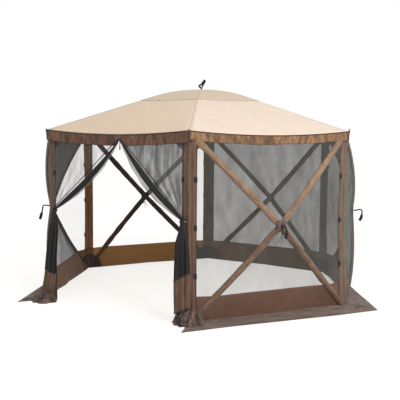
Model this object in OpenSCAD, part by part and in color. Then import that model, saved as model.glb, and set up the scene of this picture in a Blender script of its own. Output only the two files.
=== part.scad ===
// Six-sided pop-up screen house: five hubbed mesh walls, one open doorway and a hubbed roof.
// Millimetres, +Z up, origin on the ground at the centre of the floor, doorway facing -Y.
// Corners are numbered 1 to 6 anticlockwise from the one right of the doorway.
// Wall k stands between corners k and k + 1, so the doorway is the sixth side.

/* [Shelter] */
// Distance from the centre to each corner of the walls
corner_r = 1818; // [1700:1950]
// Height of the eave at the corners
eave_h = 1862; // [1800:2000]
// Height of the canopy's peak
peak_h = 2344; // [2300:2480]
// Slope of the canopy outside its domed crown, in degrees
roof_slope = 17.3; // [16.5:0.1:18]
// Distance from the centre to the corners of the crown seam
crown_r = 770; // [650:900]
// How far the eave sags between corners
eave_sag = 45; // [20:60]
// Height of the valance band below the eave
valance_h = 98; // [70:110]
// Height of the opaque skirt at the bottom of each wall
skirt_h = 260; // [200:320]
// Width of the flap that lies on the ground outside the walls
flap_w = 325; // [200:340]

/* [Frame] */
// How far a wall hub stands out from the plane of its wall
bulge = 215; // [160:220]
// Height of the wall hubs
hub_z = 930; // [900:960]
// Diameter of the poles
pole_d = 11; // [9:12]
// Radius of a wall hub
wall_hub_r = 42; // [40:50]
// Radius of the roof hub
roof_hub_r = 56; // [54:64]

/* [Cloth and straps] */
// Thickness of the cloth panels
cloth = 2; // [1:0.5:3]
// Width of each pole's sleeve
sleeve_w = 64; // [50:75]
// Width of each leg of a corner strip
strip_leg = 40; // [30:42]
// Length of the pull strap on a wall hub
strap_l = 125; // [90:150]

/* [Hidden] */
$fn = 40;
WALLS = 5;
apothem = corner_r * cos(30);
half_side = corner_r / 2;
gap = 0.3;

// Wall poles: pivots on the hub, tips near the corners, a little proud of the cloth
hub_t = 24;
wall_pivot_r = 28;
tip_inset = 47;
tip_depth = 17.5;
tip_rise = 870;
tip_x = half_side - tip_inset;
tip_reach = norm([tip_x, tip_rise]);
tip_angle = atan2(tip_rise, tip_x);
wall_throw = bulge - tip_depth;
wall_pole_l = norm([tip_reach - wall_pivot_r, wall_throw]);
wall_pole_lean = asin(wall_throw / wall_pole_l);

// Roof poles
roof_hub_t = 26;
roof_pivot_r = 40;
roof_hub_z = peak_h - 24;
valance_in = 34;
valance_r = (apothem + valance_in + cloth) / cos(30);
roof_tip_r = valance_r + 18;
roof_tip_z = eave_h - 15;
roof_throw = roof_hub_z - roof_tip_z;
roof_pole_l = norm([roof_tip_r - roof_pivot_r, roof_throw]);
roof_pole_lean = asin(roof_throw / roof_pole_l);

// Pins and the eyes that turn on them
pin_r = 2;
eye_bore_r = 2.1;
eye_r = 6.5;
eye_w = 11.5;
slot_w = 12.5;
pin_l = 21;
ferrule_r = 7;
ferrule_l = 55;
tip_cap_r = 6.3;
tip_cap_l = 30;

// Canopy profile: a round crown that runs into a straight slope
crown_arc_r = (tan(roof_slope) * valance_r - (peak_h - eave_h))
    / (tan(roof_slope) * sin(roof_slope) - (1 - cos(roof_slope)));
crown_arc_end = crown_arc_r * sin(roof_slope);
function roof_z(r) = r < crown_arc_end
    ? peak_h - crown_arc_r + sqrt(crown_arc_r * crown_arc_r - r * r)
    : peak_h - crown_arc_r * (1 - cos(roof_slope)) - tan(roof_slope) * (r - crown_arc_end);
stem_hole_r = 14;
crown_rings = [stem_hole_r, crown_r * 0.35, crown_r * 0.7, crown_r];

// Wall cloth, and the share of a piece's size that its seams take
wall_top = eave_h - 17;
seam_share = 0.0006;
hub_cloth = bulge - hub_t / 2 - cloth - 3;

// Doorway
curtain_x = [half_side - 95, half_side - 38]; // left, right
curtain_y = apothem + 50;
tie_z = 1003;
zip_y = apothem + 23;
zip_z = 1757;
zip_x = -80; // the zip's top lies off the middle, towards the right curtain

// Straps on the hubs
ear_x = 12.5;
ear_t = 4;
strap_pin_y = 21;
strap_w = 24;

// ---- Placing ----

// Side k: X runs sideways, Y points straight out through the middle of the side
module on_side(k) {
    rotate([0, 0, 60 * k - 180]) children();
}

// Corner c: X points out through the corner
module at_corner(c) {
    rotate([0, 0, 60 * c - 120]) children();
}

// Direction of each wall pole from its hub, measured up from sideways
function pole_angle(j) = [tip_angle, 180 - tip_angle, 180 + tip_angle, -tip_angle][j - 1];

// At the hub of a wall: X along pole j, Y out of the wall, Z along that pole's pin
module at_wall_spoke(j) {
    translate([0, apothem + bulge, hub_z]) rotate([0, -pole_angle(j), 0]) children();
}

// ---- Shared shapes ----

// Outline turned so that it runs anticlockwise seen from the side the thickness grows to
function facing(outline, grow) =
    cross(outline[1] - outline[0], outline[2] - outline[0]) * grow >= 0
    ? outline : [for (i = [len(outline) - 1:-1:0]) outline[i]];

// Flat piece of cloth: an outline of 3-D points, drawn in a little at the seams, thickened along grow
module cloth_piece(outline, grow) {
    n = len(outline);
    middle = [for (p = outline) 1] * outline / n;
    ring = facing([for (p = outline) middle + (p - middle) * (1 - seam_share)], grow);
    polyhedron(
        points = concat(ring, [for (p = ring) p + grow]),
        faces = concat(
            [[for (i = [0:n - 1]) i]],
            [[for (i = [n - 1:-1:0]) n + i]],
            [for (i = [0:n - 1]) [i, n + i, n + (i + 1) % n, (i + 1) % n]]
        )
    );
}

// Rod with an eye at its inner end and a cap at its tip, lying along +X from its pivot
module pole(length) {
    difference() {
        union() {
            translate([0, 0, -eye_w / 2]) cylinder(r = eye_r, h = eye_w);
            translate([0, -eye_r, -eye_w / 2]) cube([18, 2 * eye_r, eye_w]);
            translate([17, 0, 0]) rotate([0, 90, 0]) cylinder(r = ferrule_r, h = ferrule_l);
            translate([17, 0, 0]) rotate([0, 90, 0]) cylinder(d = pole_d, h = length - 22);
            translate([length - tip_cap_l, 0, 0]) rotate([0, 90, 0])
                cylinder(r = tip_cap_r, h = tip_cap_l - tip_cap_r);
            translate([length - tip_cap_r, 0, 0]) sphere(r = tip_cap_r);
        }
        translate([0, 0, -eye_w]) cylinder(r = eye_bore_r, h = 2 * eye_w);
    }
}

// Moulded disc with open slots and a pin across each, its axis along Y
module hub_body(radius, thickness, pivot_r, angles) {
    difference() {
        rotate([-90, 0, 0]) translate([0, 0, -thickness / 2]) cylinder(r = radius, h = thickness, $fn = 64);
        for (a = angles) rotate([0, -a, 0]) {
            translate([pivot_r - eye_r - 2, -thickness, -slot_w / 2]) cube([radius, 2 * thickness, slot_w]);
            translate([pivot_r, 0, -pin_l / 2]) cylinder(r = pin_r + 0.03, h = pin_l);
        }
    }
    for (a = angles) rotate([0, -a, 0]) translate([pivot_r, 0, -pin_l / 2 + 0.05])
        cylinder(r = pin_r, h = pin_l - 0.1);
}

// ---- Canopy ----

function hex_edge(r, z) = [[-r / 2, r * cos(30), z], [r / 2, r * cos(30), z]];

module canopy() {
    color("burlywood")
    for (k = [1:6]) on_side(k) {
        inner = hex_edge(crown_r + gap, roof_z(crown_r) - cloth);
        outer = hex_edge(valance_r, eave_h - cloth);
        middle = [0, valance_r * cos(30), eave_h - cloth - eave_sag];
        up = [0, 0, cloth];
        cloth_piece([inner[0], outer[0], middle], up);
        cloth_piece([inner[0], inner[1], middle], up);
        cloth_piece([inner[1], outer[1], middle], up);
    }
}

module canopy_crown() {
    color("tan")
    for (k = [1:6], i = [0:2]) on_side(k) {
        inner = hex_edge(crown_rings[i], roof_z(crown_rings[i]) - cloth);
        outer = hex_edge(crown_rings[i + 1], roof_z(crown_rings[i + 1]) - cloth);
        cloth_piece([inner[0], outer[0], outer[1], inner[1]], [0, 0, cloth]);
    }
}

// Band below the eave, open at each corner where the tip of the roof pole comes through
module valance() {
    end_x = valance_r / 2 - 14;
    end_drop = eave_sag * 28 / valance_r;
    top_z = eave_h - cloth - gap;
    y = apothem + valance_in;
    color("saddlebrown")
    for (k = [1:6], s = [-1, 1]) on_side(k)
        cloth_piece([
            [0, y, top_z - eave_sag], [s * end_x, y, top_z - end_drop],
            [s * end_x, y, top_z - valance_h], [0, y, top_z - eave_sag - valance_h]
        ], [0, cloth, 0]);
}

// ---- Walls ----

// Point where the edge from a bottom corner to the hub crosses the top of the skirt
function skirt_end(s) = let (f = skirt_h / hub_z)
    [s * half_in * (1 - f), apothem - cloth + (hub_cloth + cloth) * f, skirt_h];
half_in = half_side - 2;
function wall_point(x, z) = [x, apothem - cloth, z];
function hub_point() = [0, apothem + hub_cloth, hub_z];

// Mesh of one wall: a four-sided pyramid of flat pieces that meet at the hub
module screen(k) {
    out = [0, cloth, 0];
    color("dimgray") on_side(k) {
        for (s = [-1, 1]) {
            cloth_piece([wall_point(0, wall_top - eave_sag), wall_point(s * half_in, wall_top), hub_point()], out);
            cloth_piece([
                wall_point(s * half_in, wall_top), wall_point(s * half_in, skirt_h), skirt_end(s), hub_point()
            ], out);
        }
        cloth_piece([skirt_end(-1), skirt_end(1), hub_point()], out);
    }
}

module skirts() {
    out = [0, cloth, 0];
    color("saddlebrown")
    for (k = [1:WALLS]) on_side(k) {
        lower = skirt_h - gap;
        inner_end = [for (s = [-1, 1]) skirt_end(s) - [0, 0, gap]];
        for (i = [0, 1]) {
            x = (2 * i - 1) * half_in;
            cloth_piece([wall_point(x, 0), wall_point(x, lower), inner_end[i]], out);
        }
        cloth_piece([wall_point(-half_in, 0), wall_point(half_in, 0), inner_end[1], inner_end[0]], out);
    }
}

// Band down each corner, in two flat legs that meet at the corner's 120 degrees, backing the wall cloth
module corner_strips() {
    inside = (apothem - gap - 2 * cloth) / cos(30);
    outside = (apothem - gap - cloth) / cos(30);
    color("saddlebrown")
    for (c = [1:6], s = [-1, 1]) at_corner(c) {
        leg = [cos(120), s * sin(120)] * strip_leg;
        out = [cos(30), s * sin(30)] * cloth;
        fold = [0, s * 0.05];
        linear_extrude(eave_h - 42) polygon([
            [outside, 0] + fold, [inside, 0] + fold, [inside, 0] + leg, [inside, 0] + leg + out
        ]);
    }
}

// Flap on the ground outside each hubbed wall, split at the corners and cut back round each stake
module ground_flap() {
    seam = 1;
    y0 = apothem + gap + cloth + 1.5;
    y1 = y0 + flap_w;
    y2 = (stake_r + 60) * cos(30);
    inner = y0 * tan(30) - 60;
    color("saddlebrown")
    for (k = [1:WALLS]) on_side(k) linear_extrude(3) polygon([
        [-inner, y0], [inner, y0], [y2 * tan(30) - seam, y2],
        [y1 * tan(30) - seam, y1], [-y1 * tan(30) + seam, y1], [-y2 * tan(30) + seam, y2]
    ]);
}
// Radius of the stake holes, outside the eave so that a stake can be driven from above
stake_r = corner_r + 87;

module pole_sleeves() {
    start = 78;
    color("sienna")
    for (k = [1:WALLS], j = [1:4]) on_side(k) at_wall_spoke(j)
        translate([wall_pivot_r, 0, 0]) rotate([0, 0, -wall_pole_lean])
        translate([start, pole_d / 2 + 0.8, -sleeve_w / 2])
        cube([wall_pole_l - start - 90, 1.5, sleeve_w]);
}

// Cups that stop the pole tips at the corners, clear of the tips' travel
module corner_pockets() {
    color("black")
    for (k = [1:WALLS], j = [1:4]) on_side(k) at_wall_spoke(j)
        translate([tip_reach + 19, tip_depth - bulge - 6.5, -12]) cube([9, 13, 24]);
}

// Quarter discs that strengthen the bottom corners on the inside
module corner_patches() {
    color("#3a2a22")
    for (k = [1:WALLS], s = [-1, 1]) on_side(k) translate([s * (half_in - 6), apothem - gap - 2 * cloth - 0.5, 1])
        rotate([90, 0, 0]) intersection() {
            cylinder(r = 130, h = 1.5);
            translate([s > 0 ? -130 : 0, 0, -1]) cube([130, 130, 4]);
        }
}

// Flat webbing tabs with a grommet hole, one at the foot of each corner
module stake_tabs() {
    color("black")
    for (c = [1:6]) at_corner(c) translate([0, 0, 3.3]) difference() {
        union() {
            translate([corner_r + 5, -16, 0]) cube([stake_r - corner_r - 5, 32, 3]);
            translate([stake_r, 0, 0]) cylinder(r = 16, h = 3);
        }
        translate([stake_r, 0, -1]) cylinder(r = 6, h = 5);
    }
}

// Small webbing tabs along both edges of each corner strip
module strip_tabs() {
    spacing = eave_h / 4;
    color("black")
    for (k = [1:6], s = [-1, 1], i = [1:3]) on_side(k)
        translate([s * (half_side - strip_leg + 8) - 7, apothem + 8.6, i * spacing - 14])
        cube([14, 3, 28]);
}

// ---- Doorway ----

// Screen curtain swept to one side: a flat swag from the eave to the tie, then a hanging bundle
module curtain(s) {
    on_side(6) {
        cloth_piece([
            [zip_x + s * 8, zip_y - 1, zip_z], [s * (half_side - 45), zip_y - 1, zip_z],
            [s * tie_x(s), curtain_y, tie_z + 1]
        ], [0, cloth, 0]);
        translate([s * tie_x(s), curtain_y, 18]) cylinder(r1 = 44, r2 = 28, h = tie_z - 18);
    }
}
function tie_x(s) = curtain_x[s > 0 ? 0 : 1];
module left_curtain() { color("#2b2622") curtain(1); }
module right_curtain() { color("#2b2622") curtain(-1); }

module curtain_ties() {
    color("black")
    for (s = [-1, 1]) on_side(6) translate([s * tie_x(s), curtain_y, tie_z - 40]) difference() {
        cylinder(r = 35, h = 20);
        translate([0, 0, -1]) cylinder(r = 31.5, h = 22);
    }
}

// Slider at the top of the doorway, with the pin that its pull hangs on
module zip_slider() {
    color("black") on_side(6) translate([zip_x, zip_y, zip_z + 10]) {
        translate([-7, -3, 0]) cube([14, 6, 14]);
        for (x = [-7, 5]) translate([x, -3, -9]) cube([2, 6, 9]);
        translate([-6, 0, -5]) rotate([0, 90, 0]) cylinder(r = 1.5, h = 12);
    }
}

module zip_pull() {
    color("black") on_side(6) translate([zip_x, zip_y, zip_z + 5]) difference() {
        union() {
            translate([-4.5, 0, 0]) rotate([0, 90, 0]) cylinder(r = 3, h = 9);
            translate([-4.5, -1.5, -62]) cube([9, 3, 62]);
            translate([-6, -2.5, -100]) cube([12, 5, 40]);
        }
        translate([-8, 0, 0]) rotate([0, 90, 0]) cylinder(r = 1.6, h = 16);
    }
}

// ---- Hubs, straps and poles ----

module roof_hub() {
    color("#202020") translate([0, 0, roof_hub_z]) {
        rotate([90, 0, 0]) hub_body(roof_hub_r, roof_hub_t, roof_pivot_r, [for (c = [1:6]) 60 * c]);
        translate([0, 0, roof_hub_t / 2 - 1]) cylinder(r = 9, h = peak_h + 6 - roof_hub_z - roof_hub_t / 2 + 1);
    }
}

// Stiff webbing stem and loop above the peak
module roof_pull_loop() {
    color("black") translate([0, 0, peak_h + 6.2]) {
        cylinder(r = 7, h = 62);
        translate([0, 4, 82]) rotate([90, 0, 0]) difference() {
            cylinder(r = 24, h = 8);
            translate([0, 0, -1]) cylinder(r = 16, h = 10);
        }
    }
}

module wall_hub(k) {
    color("#202020") on_side(k) translate([0, apothem + bulge, hub_z]) {
        hub_body(wall_hub_r, hub_t, wall_pivot_r, [for (j = [1:4]) pole_angle(j)]);
        for (x = [-ear_x - ear_t, ear_x]) translate([x, 0, 0]) {
            translate([0, hub_t / 2 - 1, -5]) cube([ear_t, strap_pin_y - hub_t / 2 + 1, 10]);
            translate([0, strap_pin_y, 0]) rotate([0, 90, 0]) cylinder(r = 5, h = ear_t);
        }
        translate([-ear_x - ear_t, strap_pin_y, 0]) rotate([0, 90, 0]) cylinder(r = 2, h = 2 * (ear_x + ear_t));
    }
}

module wall_strap(k) {
    color("black") on_side(k) translate([0, apothem + bulge + strap_pin_y, hub_z]) difference() {
        union() {
            translate([-strap_w / 2, 0, 0]) rotate([0, 90, 0]) cylinder(r = 4.5, h = strap_w);
            translate([-strap_w / 2, -1.5, -strap_l]) cube([strap_w, 3, strap_l]);
            translate([-strap_w / 2 - 3, -4, -strap_l - 12]) cube([strap_w + 6, 8, 34]);
        }
        translate([-strap_w, 0, 0]) rotate([0, 90, 0]) cylinder(r = 2.1, h = 2 * strap_w);
    }
}

module wall_pole(k, j) {
    color("#2a2a2a") on_side(k) at_wall_spoke(j)
        translate([wall_pivot_r, 0, 0]) rotate([0, 0, -wall_pole_lean]) pole(wall_pole_l);
}

module roof_pole(c) {
    color("#2a2a2a") at_corner(c) translate([roof_pivot_r, 0, roof_hub_z])
        rotate([0, roof_pole_lean, 0]) rotate([90, 0, 0]) pole(roof_pole_l);
}

// ---- Nodes ----

canopy();
canopy_crown();
valance();
corner_strips();
skirts();
ground_flap();
pole_sleeves();
left_curtain();
right_curtain();
curtain_ties();
zip_slider();
zip_pull();
corner_pockets();
corner_patches();
stake_tabs();
strip_tabs();
roof_hub();
roof_pull_loop();
for (k = [1:WALLS]) {
    screen(k);
    wall_hub(k);
    wall_strap(k);
    for (j = [1:4]) {
        wall_pole(k, j);
    }
}
for (c = [1:6]) {
    roof_pole(c);
}
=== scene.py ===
"""Looks of the six-sided pop-up screen house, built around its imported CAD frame."""
import math

import bpy
import numpy as np
from mathutils import Matrix, Vector


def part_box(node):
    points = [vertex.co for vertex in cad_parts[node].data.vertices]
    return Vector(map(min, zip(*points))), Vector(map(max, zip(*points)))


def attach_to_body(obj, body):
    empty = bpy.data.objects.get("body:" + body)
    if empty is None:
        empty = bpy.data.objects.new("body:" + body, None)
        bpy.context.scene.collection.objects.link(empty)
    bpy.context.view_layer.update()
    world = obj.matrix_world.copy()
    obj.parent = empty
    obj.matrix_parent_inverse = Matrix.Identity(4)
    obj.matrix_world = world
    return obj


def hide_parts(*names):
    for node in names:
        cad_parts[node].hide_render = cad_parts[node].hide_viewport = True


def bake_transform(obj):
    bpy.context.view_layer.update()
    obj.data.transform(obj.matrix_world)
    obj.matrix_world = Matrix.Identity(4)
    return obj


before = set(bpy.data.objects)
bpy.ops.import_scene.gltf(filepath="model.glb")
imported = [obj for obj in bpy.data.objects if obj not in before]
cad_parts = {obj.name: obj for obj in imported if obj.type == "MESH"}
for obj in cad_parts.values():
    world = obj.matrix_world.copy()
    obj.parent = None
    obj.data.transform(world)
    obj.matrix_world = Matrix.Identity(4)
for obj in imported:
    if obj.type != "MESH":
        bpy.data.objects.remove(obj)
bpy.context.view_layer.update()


# ---- Sizes in metres, from the frame where it has them ----

COS30 = math.cos(math.radians(30))
TAN30 = math.tan(math.radians(30))
WALLS = range(1, 6)
SIDES = range(1, 7)
DOOR = 6
HANDS = ((1, "left"), (-1, "right"))

EAVE_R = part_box("canopy")[1].x
CROWN_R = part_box("canopy_crown")[1].x
PEAK_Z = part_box("canopy_crown")[1].z
EAVE_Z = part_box("valance")[1].z + 0.003
ROOF_SLOPE = math.radians(17.3)
EAVE_SAG = 0.045
GORE_SAG = 0.007
VALANCE_H = 0.093
VALANCE_IN = 0.034
EAVE_BOW = 0.010

WALL_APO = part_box("corner_strips")[1].x * COS30 + 0.0023
HALF = WALL_APO * TAN30
CORNER_R = WALL_APO / COS30
HUB_LOW, HUB_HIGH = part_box("wall_3_hub")
HUB_Z = (HUB_LOW.z + HUB_HIGH.z) / 2
HUB_OUT = HUB_LOW.y + 0.012 - WALL_APO
HUB_CLOTH = HUB_OUT - 0.015
WALL_TOP = EAVE_Z - 0.017
SKIRT_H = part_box("skirts")[1].z
FLAP_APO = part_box("ground_flap")[1].x * COS30
# By wall: the poles' bow between hub and corner, and how much further the cloth stands out at the hub.
POLE_BOWS = {1: 0.030, 2: 0.056, 3: 0.030, 4: 0.030, 5: 0.052}
HUB_PUSH = {1: 0.0, 2: 0.022, 3: 0.0, 4: 0.0, 5: 0.050}
GROUND_BOW = 0.03
FOOT_FLARE = 0.040
FLARE_TOP = 0.8
SLEEVE_HALF = 0.034
SLEEVE_END = 0.985
STRIP_LEG = 0.074
HUB_HOLE = 0.965
TIE_X = {1: HALF - 0.095, -1: HALF - 0.038}
CURTAIN_Y = WALL_APO + 0.050
TIE_Z = 1.0
ZIP_X = -(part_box("zip_slider")[0].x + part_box("zip_slider")[1].x) / 2
ZIP_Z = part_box("zip_slider")[0].z + 0.009

# Thickness of each cloth and of webbing, and radii of the round parts.
THIN = 0.001
CLOTH = 0.0012
STIFF = 0.0014
WEB = 0.002
ROD_RADIUS = 0.0055
PIPING_RADIUS = 0.0028
TAIL_RADIUS = 0.0028
STRAP_SIDES = 16


# ---- Placing and shared shapes ----

def turned(points, degrees):
    """Points turned about the centre of the house."""
    a = math.radians(degrees)
    p = np.asarray(points, float)
    return np.stack([
        p[..., 0] * math.cos(a) - p[..., 1] * math.sin(a),
        p[..., 0] * math.sin(a) + p[..., 1] * math.cos(a),
        p[..., 2],
    ], axis=-1)


def on_side(k, points):
    """From side k's own axes, X sideways and Y out through its middle, to the house's."""
    return turned(points, 60 * k - 180)


def at_corner(c, points):
    """From corner c's own axes, X out through the corner, to the house's."""
    return turned(points, 60 * c - 120)


def xyz(x, y, z):
    """Points from their coordinates, which may be arrays or single numbers."""
    return np.stack(np.broadcast_arrays(x, y, z), axis=-1).astype(float)


def cut(u, v):
    """Places on the flat cloth, in metres."""
    return np.stack(np.broadcast_arrays(u, v), axis=-1).astype(float)


def run_along(path):
    """Distance from a path's start to each of its points."""
    return np.concatenate([[0], np.cumsum(np.linalg.norm(np.diff(path, axis=0), axis=1))])


def headings(path):
    """Unit vector along a path at each of its points."""
    along = np.gradient(path, axis=0)
    return along / np.linalg.norm(along, axis=1)[:, None]


def down(low, high, count):
    """Even steps along a grid's rows."""
    return np.linspace(low, high, count)[:, None]


def sideways(low, high, count):
    """Even steps along a grid's columns."""
    return np.linspace(low, high, count)[None, :]


def smooth(t):
    """Eases from 0 to 1 as t does, and stays there."""
    t = np.clip(t, 0, 1)
    return t * t * (3 - 2 * t)


RIPPLE_GAIN = 1.6


def ripple(u, v, seed, waves=7, low=4.0, high=26.0):
    """Smooth wrinkle pattern from -1 to 1 over metres u and v."""
    rng = np.random.RandomState(seed)
    total = 0.0
    for _ in range(waves):
        size, turn, phase = rng.uniform(low, high), rng.uniform(0, math.pi), rng.uniform(0, 6.28)
        total = total + np.sin(size * (u * math.cos(turn) + v * math.sin(turn)) + phase)
    return total / waves * RIPPLE_GAIN


def mesh_piece(name, points, faces, material, uvs=None, seam=None):
    """A smooth mesh, with UVs in metres of cloth and each point's distance to its nearest seam."""
    data = bpy.data.meshes.new(name)
    data.from_pydata([tuple(p) for p in points], [], faces)
    data.polygons.foreach_set("use_smooth", [True] * len(data.polygons))
    if uvs is not None:
        layer = data.uv_layers.new(name="cloth")
        for loop in data.loops:
            layer.data[loop.index].uv = uvs[loop.vertex_index]
    if seam is not None:
        distance = data.attributes.new("seam", "FLOAT", "POINT")
        distance.data.foreach_set("value", np.asarray(seam, np.float32))
    data.materials.append(material)
    data.update()
    piece = bpy.data.objects.new(name, data)
    bpy.context.scene.collection.objects.link(piece)
    return piece


def patches(name, grids, material, thickness=0.0):
    """One piece from grids: points, places on the cloth and distances to the seam, in rows and columns."""
    points, cloth, seams, faces = [], [], [], []
    for p, uv, seam in grids:
        rows, cols = p.shape[:2]
        base = sum(len(x) for x in points)
        points.append(p.reshape(-1, 3))
        cloth.append(np.broadcast_to(uv, p.shape[:2] + (2,)).reshape(-1, 2))
        seams.append(np.broadcast_to(seam, p.shape[:2]).ravel())
        for i in range(rows - 1):
            for j in range(cols - 1):
                a = base + i * cols + j
                faces.append((a, a + 1, a + cols + 1, a + cols))
    piece = mesh_piece(name, np.concatenate(points), faces, material,
                       np.concatenate(cloth), np.concatenate(seams))
    if thickness:
        solid = piece.modifiers.new("cloth_thickness", "SOLIDIFY")
        solid.thickness = thickness
        solid.offset = 0
    return piece


def tube_faces(rings, sides):
    """Faces of a closed tube whose points are given ring by ring."""
    faces = []
    for i in range(rings - 1):
        for j in range(sides):
            k = (j + 1) % sides
            faces.append((i * sides + j, i * sides + k, (i + 1) * sides + k, (i + 1) * sides + j))
    last = (rings - 1) * sides
    return faces + [tuple(range(sides - 1, -1, -1)), tuple(range(last, last + sides))]


def tube(name, path, radius, material, sides=10, flat=1.0):
    """A closed tube along a path. radius is one number or one per point, flat squeezes it in height."""
    radius = np.broadcast_to(radius, len(path))
    along = headings(path)
    up = (0.0, 0.0, 1.0) if abs(along[:, 2]).mean() < 0.9 else (0.0, 1.0, 0.0)
    points, uvs = [], []
    for p, d, r, run in zip(path, along, radius, run_along(path)):
        across = np.cross(d, up)
        across /= np.linalg.norm(across)
        rise = np.cross(across, d)
        for j in range(sides):
            a = 2 * math.pi * j / sides
            points.append(p + r * (math.cos(a) * across + math.sin(a) * flat * rise))
            uvs.append((run, r * a))
    return mesh_piece(name, points, tube_faces(len(path), sides), material, uvs, np.ones(len(points)))


def webbing_strip(k, path, width, out=(0.0, 1.0, 0.0)):
    """Grid for a flat strap on side k: its path, its width and the way its flat side faces."""
    across = np.cross(np.gradient(path, axis=0), out)
    across /= np.linalg.norm(across, axis=1)[:, None]
    q = np.linspace(-1, 1, 3)
    points = path[:, None, :] + across[:, None, :] * q[None, :, None] * width / 2
    cloth = cut(q[None, :] * width / 2, run_along(path)[:, None])
    return on_side(k, points), cloth, (1 - np.abs(q))[None, :] * width / 2 * np.ones((len(path), 1))


def bezier(points, count):
    """Smooth path through given points, by Catmull-Rom."""
    p = np.asarray(points, float)
    p = np.concatenate([[2 * p[0] - p[1]], p, [2 * p[-1] - p[-2]]])
    t = np.linspace(0, len(p) - 3 - 1e-9, count)
    i = t.astype(int)
    f = (t - i)[:, None]
    a, b, c, d = p[i], p[i + 1], p[i + 2], p[i + 3]
    curve = 2 * b + (c - a) * f + (2 * a - 5 * b + 4 * c - d) * f ** 2 + (3 * b - a - 3 * c + d) * f ** 3
    return 0.5 * curve


def declare(piece):
    """Works out the size and area of a sheet's cut, its UV layout in metres."""
    uv = np.array([d.uv for d in piece.data.uv_layers["cloth"].data])
    size = uv.max(0) - uv.min(0)
    area = 0.0
    for face in piece.data.polygons:
        c = uv[list(face.loop_indices)]
        nxt = np.roll(c, -1, axis=0)
        area += abs(float((c[:, 0] * nxt[:, 1] - c[:, 1] * nxt[:, 0]).sum()) / 2)
    area = min(area, float(size[0] * size[1]))


def stretched(piece, node, slot):
    """A stretched sheet: hides the CAD node it stands for and works out its cut; its finish, slot, is not
    used.
    """
    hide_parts(node)
    declare(piece)


def attach(piece, slot, body, *nodes):
    """Gives a piece its body and hides the CAD nodes it stands for; its finish, slot, is not used."""
    if nodes:
        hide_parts(*nodes)
    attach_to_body(piece, body)


# ---- Materials ----

# A wave texture of scale 1 has WAVE_BASE waves in FULL_TURN metres of cloth.
WAVE_BASE = 20
FULL_TURN = 6.283
SPREAD_SOCKETS = ("Value", "From Min", "From Max", "To Min", "To Max")


class Shader:
    """A material under construction, with short ways to add and join nodes."""

    def __init__(self, name):
        self.material = bpy.data.materials.new(name)
        self.material.use_nodes = True
        self.tree = self.material.node_tree
        self.tree.nodes.clear()
        self.output = self.tree.nodes.new("ShaderNodeOutputMaterial")
        self.cloth = self.add("ShaderNodeTexCoord").outputs["UV"]

    def add(self, kind, **values):
        """A new node, with its settings and sockets given by name."""
        node = self.tree.nodes.new(kind)
        for key, value in values.items():
            if hasattr(node, key):
                setattr(node, key, value)
            else:
                self.put(node.inputs[key.replace("_", " ").title()], value)
        return node

    def put(self, socket, value):
        """Joins a socket to another, or sets its plain value."""
        if isinstance(value, bpy.types.NodeSocket):
            self.tree.links.new(value, socket)
        else:
            socket.default_value = value

    def math(self, operation, a, b=0.0, clamp=False):
        """One sum on two numbers or sockets."""
        node = self.tree.nodes.new("ShaderNodeMath")
        node.operation = operation
        node.use_clamp = clamp
        self.put(node.inputs[0], a)
        self.put(node.inputs[1], b)
        return node.outputs[0]

    def spread(self, value, low, high, to_low=0.0, to_high=1.0):
        """Maps low to high onto to_low to to_high, and no further."""
        node = self.tree.nodes.new("ShaderNodeMapRange")
        for index, part in enumerate((value, low, high, to_low, to_high)):
            self.put(node.inputs[SPREAD_SOCKETS[index]], part)
        return node.outputs[0]

    def mix(self, amount, a, b):
        """A colour between a and b."""
        node = self.tree.nodes.new("ShaderNodeMix")
        node.data_type = "RGBA"
        self.put(node.inputs["Factor"], amount)
        self.put(node.inputs["A"], a)
        self.put(node.inputs["B"], b)
        return node.outputs["Result"]

    def noise(self, scale, detail=3.0, stretch=(1.0, 1.0, 1.0), roughness=0.55):
        """Soft noise over the cloth, stretched along its two directions."""
        mapping = self.add("ShaderNodeMapping", Vector=self.cloth)
        mapping.inputs["Scale"].default_value = stretch
        return self.add("ShaderNodeTexNoise", Vector=mapping.outputs[0], Scale=scale, Detail=detail,
                        Roughness=roughness).outputs[0]

    def weave(self, pitch):
        """Threads both ways, from 0 to 1, with one thread over and one under every 2 * pitch metres."""
        both = []
        for axis in ("X", "Y"):
            rate = 1 / (pitch * WAVE_BASE) * FULL_TURN / 2
            wave = self.add("ShaderNodeTexWave", Vector=self.cloth, Scale=rate, Distortion=0.4)
            wave.bands_direction = axis
            both.append(wave.outputs["Fac"])
        return self.math("MULTIPLY", both[0], both[1])

    def seam(self):
        """Distance to the nearest seam."""
        return self.add("ShaderNodeAttribute", attribute_name="seam").outputs["Fac"]

    def bump(self, height, distance, strength, under=None):
        """Relief from a height, on top of another relief if one is given."""
        node = self.add("ShaderNodeBump", Height=height, Distance=distance, Strength=strength)
        if under is not None:
            self.put(node.inputs["Normal"], under)
        return node.outputs[0]

    def finish(self, shader):
        """Ends the material with a shader."""
        self.put(self.output.inputs["Surface"], shader)
        return self.material


def tone(colour, share=1.0, more=0.0):
    """A colour made darker or lighter by a share, with a little grey added, as a socket takes it."""
    return tuple(min(1.0, c * share + more) for c in colour) + (1.0,)


def stitched(s, colour, base, dark, hem, seam):
    """Darkens a hem and draws a line of stitches along it."""
    colour = s.mix(s.math("MULTIPLY", hem, 0.35), colour, dark)
    past_edge = s.spread(seam, 0.006, 0.0068, 0.0, 1.0)
    stitch_line = s.math("MULTIPLY", past_edge, s.spread(seam, 0.0075, 0.0083, 1.0, 0.0))
    dash = s.add("ShaderNodeTexWave", Vector=s.cloth, Scale=60.0, Distortion=0.0)
    dash.bands_direction = "DIAGONAL"
    dashes = s.math("MULTIPLY", stitch_line, s.spread(dash.outputs["Fac"], 0.3, 0.5))
    return s.mix(s.math("MULTIPLY", dashes, 0.8), colour, tone(base, 0.4))


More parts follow.
